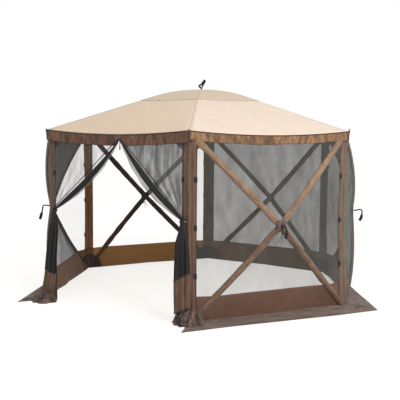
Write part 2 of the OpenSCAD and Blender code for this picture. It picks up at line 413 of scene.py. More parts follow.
def cloth_material(name, base, worn, crinkle, glow=(0.2, 0.10, 0.05), roughness=0.72, see_light=0.2,
                   stretch=(1.0, 1.0, 1.0), crinkle_scale=26.0, shade=0.72, strength=0.42):
    """Coated woven polyester: weave, crinkles and creases darkened in colour as painted shade, dusty patches,
    a stitched hem, and some light through it.
    """
    s = Shader(name)
    patch = s.noise(2.2, 4.0)
    fine = s.noise(crinkle_scale, 6.0, stretch, 0.62)
    creases = s.noise(crinkle_scale * 0.35, 4.0, stretch, 0.5)
    weave = s.weave(0.0022)
    dark = tone(base, shade)
    colour = s.mix(s.spread(patch, 0.35, 0.7, 0.0, 0.55), tone(base), tone(worn))
    # Painted shade: the fine crinkles and the broader creases darken the colour towards the shaded tone, as
    # shade would lie in them.
    colour = s.mix(s.spread(fine, 0.36, 0.62, strength, 0.0), colour, dark)
    colour = s.mix(s.spread(creases, 0.40, 0.52, strength * 0.8, 0.0), colour, dark)
    colour = s.mix(s.spread(weave, 0.0, 1.0, 0.10, 0.0), colour, dark)
    seam = s.seam()
    hem = s.spread(seam, 0.009, 0.012, 1.0, 0.0)
    colour = stitched(s, colour, base, dark, hem, seam)
    normal = None
    for height, depth, force in ((weave, 0.0004, 0.5), (fine, crinkle, 0.8), (creases, crinkle * 2.5, 0.7),
                                 (hem, 0.0012, 0.6)):
        normal = s.bump(height, depth, force, normal)
    rough = s.spread(fine, 0.3, 0.7, roughness - 0.08, roughness + 0.1)
    skin = s.add("ShaderNodeBsdfPrincipled", Base_Color=colour, Roughness=rough, Normal=normal)
    skin.inputs["Sheen Weight"].default_value = 0.15
    skin.inputs["Specular IOR Level"].default_value = 0.28
    if not see_light:
        return s.finish(skin.outputs[0])
    through = s.add("ShaderNodeBsdfTranslucent", Color=tone(glow), Normal=normal)
    both = s.add("ShaderNodeMixShader")
    both.inputs[0].default_value = see_light
    s.put(both.inputs[1], skin.outputs[0])
    s.put(both.inputs[2], through.outputs[0])
    return s.finish(both.outputs[0])


def net_material(name, cover, folds, fold_depth, thread=(0.085, 0.087, 0.080)):
    """Fine insect mesh: its threads cover a share of what is behind, more when seen at a slant."""
    s = Shader(name)
    streak = s.noise(7.0, 4.0, folds, 0.6)
    grain = s.noise(160.0, 2.0)
    weave = s.weave(0.0035)
    share = s.math("MULTIPLY", s.spread(streak, 0.3, 0.72, 1 - fold_depth, 1 + fold_depth),
                   s.spread(grain, 0.3, 0.7, 0.9, 1.1))
    share = s.math("MULTIPLY", share, s.spread(weave, 0.0, 1.0, 0.92, 1.15))
    share = s.math("MULTIPLY", share, cover, clamp=True)
    hem = s.spread(s.seam(), 0.006, 0.010, 0.55, 0.0)
    share = s.math("MAXIMUM", share, hem, clamp=True)
    facing = s.add("ShaderNodeLayerWeight", Blend=0.5).outputs["Facing"]
    across = s.math("MAXIMUM", s.math("SUBTRACT", 1.0, facing), 0.12)
    clear = s.math("POWER", s.math("SUBTRACT", 1.0, share), s.math("DIVIDE", 1.0, across))
    colour = s.mix(s.spread(streak, 0.35, 0.65), tone(thread), tone(thread, 0.6))
    skin = s.add("ShaderNodeBsdfPrincipled", Base_Color=colour, Normal=s.bump(weave, 0.0003, 0.6))
    skin.inputs["Roughness"].default_value = 0.7
    skin.inputs["Specular IOR Level"].default_value = 0.2
    through = s.add("ShaderNodeBsdfTransparent")
    both = s.add("ShaderNodeMixShader", Fac=s.math("SUBTRACT", 1.0, clear, clamp=True))
    s.put(both.inputs[1], through.outputs[0])
    s.put(both.inputs[2], skin.outputs[0])
    return s.finish(both.outputs[0])


def hard_material(name, base, roughness, grain):
    """Moulded or pulled parts: fine grain, scuffs that lighten it, and uneven gloss."""
    s = Shader(name)
    s.cloth = s.add("ShaderNodeTexCoord").outputs["Object"]
    fine = s.noise(400.0, 3.0)
    scuff = s.noise(28.0, 5.0, (1.0, 1.0, 0.4))
    colour = s.mix(s.spread(scuff, 0.56, 0.75, 0.0, 0.55), tone(base), tone(base, 2.6, 0.03))
    rough = s.spread(scuff, 0.35, 0.7, roughness - 0.1, roughness + 0.15)
    skin = s.add("ShaderNodeBsdfPrincipled", Base_Color=colour, Roughness=rough,
                 Normal=s.bump(fine, grain, 0.5, s.bump(scuff, grain * 3, 0.3)))
    return s.finish(skin.outputs[0])


def webbing_material(name, base):
    """Woven strap: ribs across it, a tight herringbone and fuzzy edges."""
    s = Shader(name)
    ribs = s.add("ShaderNodeTexWave", Vector=s.cloth, Scale=110.0, Distortion=1.2)
    ribs.bands_direction = "Y"
    fuzz = s.noise(220.0, 3.0)
    # Painted highlight: the rib tops are drawn lighter, as light catches them.
    lit = s.math("MULTIPLY", ribs.outputs["Fac"], s.spread(fuzz, 0.3, 0.7, 0.2, 0.7))
    colour = s.mix(lit, tone(base), tone(base, 2.4, 0.008))
    skin = s.add("ShaderNodeBsdfPrincipled", Base_Color=colour,
                 Normal=s.bump(ribs.outputs["Fac"], 0.0006, 0.8, s.bump(fuzz, 0.0004, 0.5)))
    skin.inputs["Roughness"].default_value = 0.82
    skin.inputs["Sheen Weight"].default_value = 0.03
    skin.inputs["Specular IOR Level"].default_value = 0.25
    return s.finish(skin.outputs[0])


TAN_LOOK = dict(crinkle=0.0006, glow=(0.85, 0.62, 0.40), see_light=0.08, crinkle_scale=14.0, shade=0.9)
STRIP_LOOK = dict(glow=(0.40, 0.17, 0.055), stretch=(3.2, 0.35, 1.0), crinkle_scale=20.0, strength=0.62)
SLEEVE_LOOK = dict(crinkle=0.0040, glow=(0.40, 0.22, 0.10), see_light=0.08, stretch=(1.8, 0.6, 1.0),
                   crinkle_scale=30.0, shade=0.42, strength=0.7)
VALANCE_LOOK = dict(crinkle=0.0055, glow=(0.40, 0.20, 0.09), see_light=0.08, stretch=(2.0, 0.8, 1.0),
                    crinkle_scale=15.0, shade=0.22, strength=0.85)

TAN = cloth_material("tan_canopy_cloth", (0.478, 0.396, 0.328), (0.515, 0.430, 0.360), **TAN_LOOK)
# Painted shade: a darker, more saturated copy of the tan cloth for the gore over the doorway, which faces
# away from the light.
TAN_SHADED = cloth_material("tan_canopy_cloth_shaded", (0.450, 0.345, 0.250), (0.482, 0.375, 0.277), **TAN_LOOK)
CROWN_TAN = cloth_material("crown_cloth", (0.380, 0.303, 0.220), (0.418, 0.338, 0.250),
                           **dict(TAN_LOOK, glow=(0.70, 0.58, 0.40)))
BROWN = cloth_material("brown_cloth", (0.095, 0.049, 0.030), (0.140, 0.076, 0.049), 0.0020,
                       (0.34, 0.15, 0.055))
# Painted light: copies of the brown cloth for the skirts of walls 4 and 5, lighter on wall 4 and warmer on
# wall 5, where light shines on and through them.
BROWN_LIT = cloth_material("brown_cloth_lit", (0.130, 0.075, 0.034), (0.180, 0.108, 0.050), 0.0018,
                           (0.78, 0.52, 0.26), see_light=0.42)
BROWN_BACKLIT = cloth_material("brown_cloth_backlit", (0.092, 0.050, 0.024), (0.130, 0.074, 0.038), 0.0018,
                            (0.60, 0.33, 0.12), see_light=0.30)
STRIP = cloth_material("strip_cloth", (0.095, 0.050, 0.031), (0.178, 0.100, 0.062), 0.0030,
                       see_light=0.12, shade=0.42, **STRIP_LOOK)
# Painted light: lighter copies of the strip cloth for corners 2 and 5, where more light falls on the strips.
STRIP_PAINTED_LIGHT = cloth_material("strip_cloth_painted_light", (0.116, 0.067, 0.044), (0.180, 0.114, 0.078), 0.0030,
                            see_light=0.10, shade=0.5, **STRIP_LOOK)
STRIP_LIT = cloth_material("strip_cloth_lit", (0.120, 0.068, 0.032), (0.180, 0.108, 0.052), 0.0026,
                           see_light=0.45, shade=0.45, **dict(STRIP_LOOK, glow=(0.62, 0.36, 0.15)))
FLAP = cloth_material("flap_cloth", (0.100, 0.058, 0.040), (0.205, 0.134, 0.098), 0.0042, see_light=0.06,
                      stretch=(0.5, 1.6, 1.0), crinkle_scale=17.0, shade=0.38, strength=0.75)
BUNCH = cloth_material("bunched_cloth", (0.085, 0.045, 0.032), (0.270, 0.175, 0.135), 0.0040,
                       roughness=0.48, see_light=0.0, shade=0.16, strength=0.95)
GUSSET = cloth_material("gusset_cloth", (0.060, 0.031, 0.019), (0.105, 0.058, 0.037), 0.0020,
                        see_light=0.05, shade=0.5, strength=0.6)
SLEEVE = cloth_material("sleeve_cloth", (0.205, 0.122, 0.073), (0.335, 0.220, 0.148), **SLEEVE_LOOK)
# Painted shade: a darker copy of the sleeve cloth for the sleeves below the hub on wall 1.
SLEEVE_LOW_SHADED = cloth_material("sleeve_low_cloth_shaded", (0.120, 0.066, 0.040), (0.225, 0.138, 0.088), **SLEEVE_LOOK)
SLEEVE_SHADED = cloth_material("sleeve_shaded_cloth", (0.060, 0.042, 0.033), (0.090, 0.066, 0.054), 0.0022,
                               see_light=0.04, crinkle_scale=34.0)
# Painted shade: the sleeves' back layer is drawn near black, for the shade on the inside of the walls.
SLEEVE_BACK_SHADED = cloth_material("sleeve_back_cloth_shaded", (0.036, 0.020, 0.013), (0.060, 0.033, 0.021), 0.0012,
                             see_light=0.0)
VALANCE_LIT = cloth_material("valance_cloth_lit", (0.185, 0.094, 0.045), (0.390, 0.225, 0.112),
                             **VALANCE_LOOK)
VALANCE = cloth_material("valance_cloth", (0.118, 0.050, 0.025), (0.245, 0.120, 0.062), **VALANCE_LOOK)
COVER = cloth_material("hub_cover_cloth", (0.085, 0.052, 0.045), (0.150, 0.100, 0.090), 0.0022,
                       see_light=0.0, crinkle_scale=50.0, shade=0.4, strength=0.7)
PATCH = cloth_material("patch_cloth", (0.022, 0.012, 0.008), (0.034, 0.019, 0.013), 0.0010,
                       (0.1, 0.05, 0.03), see_light=0.05)
BINDING = cloth_material("binding_tape", (0.020, 0.012, 0.009), (0.034, 0.021, 0.015), 0.0008, see_light=0.0)

# Share of the background each mesh hides: one number a wall, and its own for the parts that differ. The
# shares also paint shade: the same mesh is drawn denser, and so darker, on the walls and parts that stand in
# shade.
NET_COVER_AND_SHADE = {"1": 0.30, "2": 0.84, "2_right": 0.55, "3": 0.71, "4": 0.03, "5": 0.08, "5_top": 0.70,
             "5_bottom": 0.42}
NETS = {part: net_material(f"mesh_wall_{part}", cover, (1.0, 0.35, 1.0), 0.12)
        for part, cover in NET_COVER_AND_SHADE.items()}
CURTAIN_NETS = {1: net_material("left_curtain_mesh", 0.27, (2.2, 0.5, 1.0), 0.5),
                -1: net_material("right_curtain_mesh", 0.84, (2.2, 0.5, 1.0), 0.22)}
LOOSE_NET = net_material("loose_mesh", 0.60, (2.2, 0.5, 1.0), 0.3, (0.10, 0.10, 0.10))
DENSE_NET = net_material("gathered_mesh", 0.995, (3.0, 0.4, 1.0), 0.02, (0.012, 0.012, 0.013))
WEBBING = webbing_material("black_webbing", (0.006, 0.006, 0.006))
NYLON = hard_material("hub_nylon", (0.016, 0.016, 0.018), 0.45, 0.0003)
FIBRE = hard_material("glass_fibre_rod", (0.02, 0.02, 0.022), 0.3, 0.0001)
ZIP = hard_material("zip_plastic", (0.010, 0.010, 0.011), 0.4, 0.0004)
TOGGLE = hard_material("toggle_plastic", (0.16, 0.15, 0.13), 0.5, 0.0003)


# ---- Canopy ----

def roof_z(r):
    """Height of a hip at a distance from the axis: a round crown that runs into a straight slope."""
    slope, rise = math.tan(ROOF_SLOPE), PEAK_Z - EAVE_Z
    arc = (slope * EAVE_R - rise) / (slope * math.sin(ROOF_SLOPE) - (1 - math.cos(ROOF_SLOPE)))
    end = arc * math.sin(ROOF_SLOPE)
    r = np.asarray(r, float)
    dome = PEAK_Z - arc + np.sqrt(np.maximum(arc ** 2 - r ** 2, 0))
    return np.where(r < end, dome, PEAK_Z - arc * (1 - math.cos(ROOF_SLOPE)) - slope * (r - end))


def gore(k, r_in, r_out, rows, lift):
    """Grid of one gore between two rings, sagging a little between its hips and most at the eave."""
    r = down(r_in, r_out, rows)
    s = sideways(-1, 1, 33)
    share = np.clip((r - CROWN_R) / (EAVE_R - CROWN_R), 0, 1)
    sag = GORE_SAG * np.minimum(r / CROWN_R, 1) + (EAVE_SAG - GORE_SAG) * share ** 1.6
    x, y = s * r / 2, r * COS30 - EAVE_BOW * share ** 3 * (1 - s ** 2)
    z = roof_z(r) - sag * (1 - s ** 2) + lift + 0.0022 * ripple(x, y + k, 40 + k) * (1 - s ** 2)
    run = (r - r_in) * COS30 / math.cos(ROOF_SLOPE)
    seam = np.minimum((1 - np.abs(s)) * r / 2 * COS30, np.minimum(run, run.max() - run) + 0.0005)
    return on_side(k, xyz(x, y, z)), cut(x, run), seam


def canopy_side(k):
    """Main gore and crown gore of one side."""
    # The gore over the doorway takes the shaded copy of the tan cloth.
    tan = TAN_SHADED if k == DOOR else TAN
    gores = (
        ("canopy_gore", gore(k, CROWN_R, EAVE_R, 30, 0.0), tan, "canopy", "canopy_tan"),
        ("crown_gore", gore(k, 0.014, CROWN_R + 0.008, 22, 0.0015), CROWN_TAN, "canopy_crown", "crown_tan"),
    )
    for name, grid, cloth, node, slot in gores:
        piece = patches(f"{name}_{k}", [grid], cloth, THIN)
        stretched(piece, node, slot)
        outer_mid = on_side(k, [0, WALL_APO + VALANCE_IN, EAVE_Z])
        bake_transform(piece)


def roof_rod(c):
    """Flexed roof pole under the hip of corner c."""
    r = np.linspace(0.05, EAVE_R + 0.012, 40)
    hang = 0.012 + 0.004 * smooth((r - 0.2) / 0.3)
    path = at_corner(c, xyz(r, 0 * r, roof_z(r) - hang))
    return tube(f"roof_rod_{c}", path, ROD_RADIUS, FIBRE)


for k in SIDES:
    canopy_side(k)

for c in SIDES:
    rod = roof_rod(c)
    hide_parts(f"roof_pole_{c}")
    at_corner(c, [EAVE_R, 0, EAVE_Z])
    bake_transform(rod)


# ---- Eave: valance, binding and corner ends ----

def eave_z(x):
    """Height of the eave, which sags between its corners."""
    return EAVE_Z - EAVE_SAG * (1 - (x / (EAVE_R / 2)) ** 2)


def valance_band(k):
    """Band below the eave, gathered in slanting puckers, deeper over the doorway and notched for its zip."""
    half = EAVE_R / 2 + 0.002
    x = sideways(-half, half, 220)
    v = down(0, 1, 20)
    depth = (1.22 if k == DOOR else 1.0) * VALANCE_H + 0.003 * ripple(x, 0 * x, 170 + k, 5, 6, 18)
    if k == DOOR:
        depth = depth - 0.062 * np.exp(-((x - ZIP_X) / 0.022) ** 2)
    slant = np.sign(x) * 0.05
    puckers = ripple(x * 3.0 + slant * v * 3, v * 0.06, 70 + k, 11, 14, 60)
    tucks = np.abs(ripple(x * 2.0 - slant * v * 5, v * 0.05, 90 + k, 9, 20, 70)) ** 0.7
    pinch = (0.0075 * puckers + 0.0050 * tucks) * smooth(v * 3) * (1 - 0.5 * v)
    y = WALL_APO + VALANCE_IN - EAVE_BOW * (1 - (x / half) ** 2) + pinch + 0.003 * v
    z = eave_z(x) + 0.001 - v * depth
    seam = np.minimum(v, 1 - v) * VALANCE_H + 0 * x
    return patches(f"valance_band_{k}", [(on_side(k, xyz(x, y, z)), cut(x, v * VALANCE_H), seam)],
                   VALANCE_LIT if k == 1 else VALANCE, CLOTH)


for k in SIDES:
    band = valance_band(k)
    declare(band)
    attach(band, "brown_cloth", "root", "valance")
    x = np.linspace(-EAVE_R / 2, EAVE_R / 2, 60)
    edge = WALL_APO + VALANCE_IN + 0.001 - EAVE_BOW * (1 - (2 * x / EAVE_R) ** 2)
    tape = tube(f"eave_binding_{k}", on_side(k, xyz(x, edge, eave_z(x) - 0.001)), 0.0048, BINDING, 8)
    attach(tape, "brown_cloth", "root")

# How far a pole's end stands above the eave, at the one corner where it isn't 0.010.
POLE_END_RISE = {2: 0.026}

for c in SIDES:
    v = down(0, 1, 12)
    a = sideways(-1.9, 1.9, 18)
    radius = 0.020 * np.sqrt(np.clip(1 - (1 - np.minimum(v * 5, 1)) ** 2, 0.02, 1)) * (1 - 0.25 * v)
    x, y = EAVE_R - 0.010 + radius * np.cos(a), radius * np.sin(a) * 1.1
    points = at_corner(c, xyz(x, y, EAVE_Z + 0.006 - v * VALANCE_H * 1.08))
    cap = points, cut(a * 0.02, v * 0.085), 0.02 + 0 * a * v
    cap_piece = patches(f"eave_corner_cap_{c}", [cap], VALANCE, CLOTH)
    attach(cap_piece, "brown_cloth", "root")
    rise = POLE_END_RISE.get(c, 0.010)
    stub = bezier([[EAVE_R + 0.002, 0, EAVE_Z - 0.02], [EAVE_R + 0.008, 0, EAVE_Z - 0.006],
                   [EAVE_R + 0.006, 0, EAVE_Z + rise / 2], [EAVE_R + 0.004, 0, EAVE_Z + rise]], 14)
    stub_piece = tube(f"pole_end_{c}", at_corner(c, stub), np.linspace(0.008, 0.0062, 14), ZIP, 12)
    attach(stub_piece, "hub_plastic", "root")


# ---- Walls ----

def foot_flare(k, x, z):
    """How much further the feet of walls 1, 2 and 5 stand out at one end, near the ground."""
    if k == 1:
        return FOOT_FLARE * smooth((FLARE_TOP - z) / FLARE_TOP) * smooth((-x / HALF - 0.5) * 2)
    if k == 2:
        return FOOT_FLARE * smooth((FLARE_TOP - z) / FLARE_TOP) * smooth((x / HALF + 1) * 2.2)
    if k == 5:
        low = 0.055 * smooth((0.34 - z) / 0.34)
        return low * smooth((1 - np.abs(x) / HALF) * 6) * smooth((-x / HALF - 0.1) * 2)
    return 0.0


def wall_depth(k, x, z):
    """How far a wall's cloth stands out of the wall's plane at sideways x and height z."""
    a = np.abs(x) / HALF
    b = np.where(z < HUB_Z, (HUB_Z - z) / HUB_Z, (z - HUB_Z) / (WALL_TOP - HUB_Z))
    m = np.maximum(np.maximum(a, b), 1e-6)
    near = np.clip(1 - m, 0, 1)
    edge = np.minimum(a, b) / m
    foot = GROUND_BOW * np.clip(b - a, 0, 1) ** 1.5 * np.where(z < HUB_Z, b, 0) ** 2 * 1.6
    foot = foot + foot_flare(k, x, z)
    reach = HUB_CLOTH + HUB_PUSH[k]
    return reach * near + POLE_BOWS[k] * 4 * near * (1 - near) * edge ** 2 + foot


def wall_grid(k, x, z, seam, wrinkle, seed):
    """Grid lying on the cloth of wall k, with creases that fade towards its seams."""
    x, z = np.broadcast_arrays(x, z)
    crease = wrinkle * ripple(x, z, seed) * np.clip(seam / 0.05, 0, 1)
    points = on_side(k, xyz(x, WALL_APO + wall_depth(k, x, z) + crease, z))
    return points, cut(x, z), seam


def band_grid(k, up, f0, f1, rows, wrinkle, seed):
    """Part of the top (up = 1) or bottom (up = -1) triangle between two shares of the way to the hub."""
    f = down(f0, f1, rows)
    s = sideways(-1, 1, 41)
    reach = WALL_TOP - HUB_Z if up > 0 else HUB_Z
    sag = (EAVE_SAG - 0.004) * (1 - s ** 2) * (1 - f) ** 2 if up > 0 else 0.0
    x, z = s * HALF * (1 - f), HUB_Z + up * reach * (1 - f) - sag
    seam = np.minimum((1 - np.abs(s)) * HALF * (1 - f) * 0.7, np.minimum(f - f0, f1 - f) * reach + 0.0003)
    return wall_grid(k, x, z, seam, wrinkle, seed)


def side_grid(k, hand, z0, z1, rows, wrinkle, seed):
    """Part of a side triangle between two heights, from its poles to the corner."""
    z = down(z0, z1, rows)
    way = np.where(z < HUB_Z, z / HUB_Z, (WALL_TOP - z) / (WALL_TOP - HUB_Z))
    q = sideways(0, 1, 25)
    x_in = HALF * (1 - np.minimum(way, HUB_HOLE))
    x = hand * (x_in + (HALF - x_in) * q)
    seam = np.minimum(np.minimum(q, 1 - q) * (HALF - x_in), np.minimum(z - z0, z1 - z) + 0.0003)
    return wall_grid(k, x, z, seam, wrinkle, seed)


def sleeve_grid(k, hand, up, into_side, seed, inner=False):
    """Half of a pole's sleeve on one side of the pole, ridged over it; inner is its flat back layer."""
    reach = WALL_TOP - HUB_Z if up > 0 else HUB_Z
    length = math.hypot(HALF, reach)
    first = SKIRT_H / HUB_Z if inner and up < 0 else 0.028
    f = down(first, SLEEVE_END, 130)
    q = sideways(0, 1, 8)
    turn = 1 if into_side else -1
    width = SLEEVE_HALF * (1 + 0.08 * ripple(f * length, 0 * f, seed + 5, 5, 10, 40))
    room = (1 - f) * length * (reach / HALF if into_side else HALF / reach)
    width = np.minimum(width, 0.97 * room) * (0.8 if inner else 1)
    x = hand * (HALF * (1 - f) + turn * q * width * reach / length)
    z = HUB_Z + up * (reach * (1 - f) - turn * q * width * HALF / length)
    x = hand * np.minimum(np.abs(x), HALF + 0.001)
    ridge = 0.0135 * (1 - q ** 2) ** 0.8
    crease = 0.0030 * ripple(f * length + q * 0.03, q * 0.03, seed, 9, 30, 120) * np.sqrt(q * (1.02 - q) * 4)
    lift = -0.0035 - 0.0015 * (1 - q) if inner else 0.0025 + ridge + crease
    points = on_side(k, xyz(x, WALL_APO + wall_depth(k, x, z) + lift, z))
    cloth = cut(turn * q * width, f * length)
    ends = np.minimum(f - first, SLEEVE_END - f) * length + 0.0003
    return points, cloth, np.minimum((1 - q) * width, ends)


def second_cloth(piece, material, where):
    """Gives the faces whose centres pass a test another material."""
    piece.data.materials.append(material)
    for face in piece.data.polygons:
        if where(face.center):
            face.material_index = 1


def blend_wall(piece, k, part):
    """Fixes a piece of wall k in place. Part is top, bottom, a side's hand, or a far end's place; the points
    worked out from it are not used.
    """
    starts = {"top": (0, WALL_TOP), "bottom": (0, 0.0), 1: (HALF, HUB_Z), -1: (-HALF, HUB_Z)}
    x, z = starts[part] if part in starts else part
    far, near = on_side(k, [x, WALL_APO, z]), on_side(k, [0, WALL_APO, HUB_Z])
    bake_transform(piece)
    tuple(far)
    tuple(near)


def wall_sheet(piece, k, part, node, slot):
    """A stretched cloth of wall k."""
    stretched(piece, node, slot)
    blend_wall(piece, k, part)


def wall_panels(k):
    """Mesh and skirt of one hubbed wall, cut along the poles into one part for each triangle."""
    skirt_f = SKIRT_H / HUB_Z
    # Walls 4 and 5 take the lit and warmed copies of the brown cloth, as painted light.
    skirt_cloth = {4: BROWN_LIT, 5: BROWN_BACKLIT}.get(k, BROWN)
    meshes = (
        ("top", "top", band_grid(k, 1, 0.0, HUB_HOLE, 26, 0.006, k)),
        ("bottom", "bottom", band_grid(k, -1, skirt_f, HUB_HOLE, 22, 0.006, k + 10)),
        ("left", 1, side_grid(k, 1, SKIRT_H, WALL_TOP - 0.004, 44, 0.006, k + 20)),
        ("right", -1, side_grid(k, -1, SKIRT_H, WALL_TOP - 0.004, 44, 0.006, k + 30)),
    )
    for word, part, grid in meshes:
        net_cloth = NETS.get(f"{k}_{word}", NETS[str(k)])
        wall_sheet(patches(f"wall_{k}_mesh_{word}", [grid], net_cloth), k, part, f"wall_{k}_screen", "mesh")
    skirts = (
        ("bottom", "bottom", band_grid(k, -1, 0.0, skirt_f + 0.006, 12, 0.005, k + 40)),
        ("left", 1, side_grid(k, 1, 0.003, SKIRT_H + 0.006, 12, 0.004, k + 50)),
        ("right", -1, side_grid(k, -1, 0.003, SKIRT_H + 0.006, 12, 0.004, k + 60)),
    )
    for word, part, grid in skirts:
        piece = patches(f"wall_{k}_skirt_{word}", [grid], skirt_cloth, CLOTH)
        wall_sheet(piece, k, part, "skirts", "brown_cloth")


def wall_sleeves(k):
    """Outer and inner layers of the pole sleeves of one wall, each half sewn to the triangle beside it."""
    outer = SLEEVE if k == 1 else SLEEVE_SHADED
    sleeves = (("top", "top", [(1, 1), (-1, 1)], False), ("bottom", "bottom", [(1, -1), (-1, -1)], False),
               ("left", 1, [(1, 1), (1, -1)], True), ("right", -1, [(-1, 1), (-1, -1)], True))
    for word, part, poles, into_side in sleeves:
        for layer, cloth, inner in (("sleeve", outer, False), ("sleeve_back", SLEEVE_BACK_SHADED, True)):
            grids = []
            for i, (hand, up) in enumerate(poles):
                p, uv, seam = sleeve_grid(k, hand, up, into_side, 200 + 40 * k + 3 * hand + 5 * up, inner)
                grids.append((p, uv + np.array([i * 2.5 * SLEEVE_HALF, 0]), seam))
            piece = patches(f"wall_{k}_{layer}_{word}", grids, cloth, THIN)
            if k == 1 and not inner:
                # Below the hub, wall 1's sleeves take the darker copy of the sleeve cloth: painted shade.
                second_cloth(piece, SLEEVE_LOW_SHADED, lambda centre: centre.z < HUB_Z)
            wall_sheet(piece, k, part, "pole_sleeves", "sleeve_cloth")


FERRULE_RADII = [0.0035, 0.0062, 0.0068, 0.0068, 0.0068, 0.0068, 0.0066, 0.006]
RIVET_RISES = (0.0, 0.0015, 0.0030, 0.0042, 0.0048)
RIVET_RADII = [0.0042, 0.0052, 0.0050, 0.0038, 0.0012]
RIVET_RING = 0.031
COVER_HOLE = 0.015
COVER_LIFT = 0.0185


def wall_rods(k):
    """Flexed poles of one wall inside their sleeves, each with the ferrule that turns on the hub's pin."""
    poles = {1: (1, 1), 2: (-1, 1), 3: (-1, -1), 4: (1, -1)}
    for j, (hand, up) in poles.items():
        reach = WALL_TOP - HUB_Z if up > 0 else HUB_Z
        f = np.linspace(0.045, 0.972, 40)
        x, z = hand * HALF * (1 - f), HUB_Z + up * reach * (1 - f)
        depth = wall_depth(k, x, z) + 0.0090 + (0.004 - HUB_PUSH[k]) * smooth((f - 0.85) / 0.12)
        rod = tube(f"wall_{k}_rod_{j}", on_side(k, xyz(x, WALL_APO + depth, z)), ROD_RADIUS, FIBRE)
        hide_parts(f"wall_{k}_pole_{j}")
        blend_wall(rod, k, (hand * HALF, HUB_Z + up * reach))
        way = np.array([hand * HALF, 0, up * reach]) / math.hypot(HALF, reach)
        pivot = np.array([0, WALL_APO + HUB_OUT, HUB_Z]) + way * 0.028
        lean = np.array([0, -0.16, 0])
        path = on_side(k, pivot + down(-0.004, 0.034, 8) * (way + lean))
        ferrule = tube(f"wall_{k}_ferrule_{j}", path, FERRULE_RADII, NYLON, 12)
        attach(ferrule, "pole", f"wall_{k}_pole_{j}")


def hub_cover(k):
    """Stitched cloth patch over the hub where the four sleeves meet, open in its middle, with its rivets."""
    q = down(0, 1, 14)
    a = sideways(0, 2 * math.pi, 97)
    outer = 0.054 + 0.024 * np.abs(np.cos(2 * (a - math.pi / 4))) ** 3 + 0.002 * np.sin(9 * a + k)
    r = COVER_HOLE + (outer - COVER_HOLE) * q
    x, z = r * np.cos(a), HUB_Z + r * np.sin(a)
    lip = WALL_APO + wall_depth(k, x, z) + COVER_LIFT
    face = WALL_APO + HUB_OUT + 0.0170 - 0.003 * q
    t = smooth((r - 0.040) / 0.026)
    y = np.maximum(face * (1 - t) + lip * t, lip) + 0.0018 * ripple(x * 3, z * 3, 600 + k, 8, 20, 60) * q
    seam = np.minimum(r - COVER_HOLE, outer - r) + 0 * a
    piece = patches(f"wall_{k}_hub_cover", [(on_side(k, xyz(x, y, z)), cut(x, z), seam)], COVER, CLOTH)
    attach(piece, "sleeve_cloth", f"wall_{k}_hub")
    for i in range(8):
        turn = math.radians(45 * i + 22.5)
        rise = max(HUB_OUT + 0.0150, HUB_CLOTH + HUB_PUSH[k] - 0.010 + COVER_LIFT)
        spot = [RIVET_RING * math.cos(turn), WALL_APO + rise, HUB_Z + RIVET_RING * math.sin(turn)]
        head = on_side(k, np.array(spot) + np.array([[0, y, 0] for y in RIVET_RISES]))
        rivet = tube(f"wall_{k}_rivet_{i + 1}", head, RIVET_RADII, NYLON, 12)
        attach(rivet, "hub_plastic", f"wall_{k}_hub")


def strap_loft(name, place, path, half_width, half_thick):
    """Folded webbing strap: a rounded flat section swept along an up-and-out path, then placed."""
    across = np.array([1.0, 0.0, 0.0])
    a = np.linspace(0, 2 * math.pi, STRAP_SIDES + 1)[:-1]
    flat = np.sign(np.cos(a)) * np.abs(np.cos(a)) ** 0.6
    thick = np.sign(np.sin(a)) * np.abs(np.sin(a)) ** 0.8
    points, uvs = [], []
    for p, d, w, t, run in zip(path, headings(path), half_width, half_thick, run_along(path)):
        out = np.cross(across, d)
        points += [p + across * w * f + out * t * h for f, h in zip(flat, thick)]
        uvs += [(w * f, run) for f in flat]
    faces = tube_faces(len(path), STRAP_SIDES)
    return mesh_piece(name, place(np.array(points)), faces, WEBBING, uvs, np.ones(len(points)))


STRAP_HANGS = {
    1: [[-0.004, 0.0], [0.018, 0.007], [0.044, 0.005], [0.063, -0.014], [0.070, -0.045], [0.066, -0.078],
        [0.056, -0.112]],
    2: [[-0.004, 0.0], [0.030, 0.004], [0.078, 0.012], [0.098, -0.010], [0.096, -0.050], [0.090, -0.085],
        [0.070, -0.122]],
    5: [[-0.004, 0.0], [0.045, 0.012], [0.096, 0.006], [0.104, -0.035], [0.112, -0.075], [0.124, -0.115],
        [0.138, -0.160]],
}
STRAP_OUT = {2: 0.012, 5: 0.022}
STRAP_STEPS = 40
PLAIN_HUBS = (1, 3, 4)


def pull_strap(k):
    """Webbing pull strap that arcs out of the hub and hangs, with a thick sewn end."""
    root_y = WALL_APO + HUB_OUT + 0.021 + STRAP_OUT.get(k, 0.0)
    profile = bezier(STRAP_HANGS.get(k, STRAP_HANGS[1]), STRAP_STEPS)
    step = np.arange(STRAP_STEPS)
    end, last = smooth((step - 24) / 6), smooth((step - 37) / 3)
    path = xyz(0.004 * np.sin(step / 6), root_y + profile[:, 0], HUB_Z + profile[:, 1])
    half_width = 0.0105 + 0.0045 * end - 0.006 * last
    half_thick = (0.0052 if k in PLAIN_HUBS else 0.0075) + 0.0095 * end - 0.006 * last
    half_thick = half_thick + 0.0006 * np.sin(step * 1.9)
    strap = strap_loft(f"wall_{k}_pull_strap", lambda p: on_side(k, p), path, half_width, half_thick)
    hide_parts(f"wall_{k}_strap")
    hinge, hung = [0, root_y, HUB_Z], [0, root_y + profile[20, 0], HUB_Z + profile[20, 1]]
    on_side(k, hinge)
    on_side(k, hung)
    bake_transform(strap)


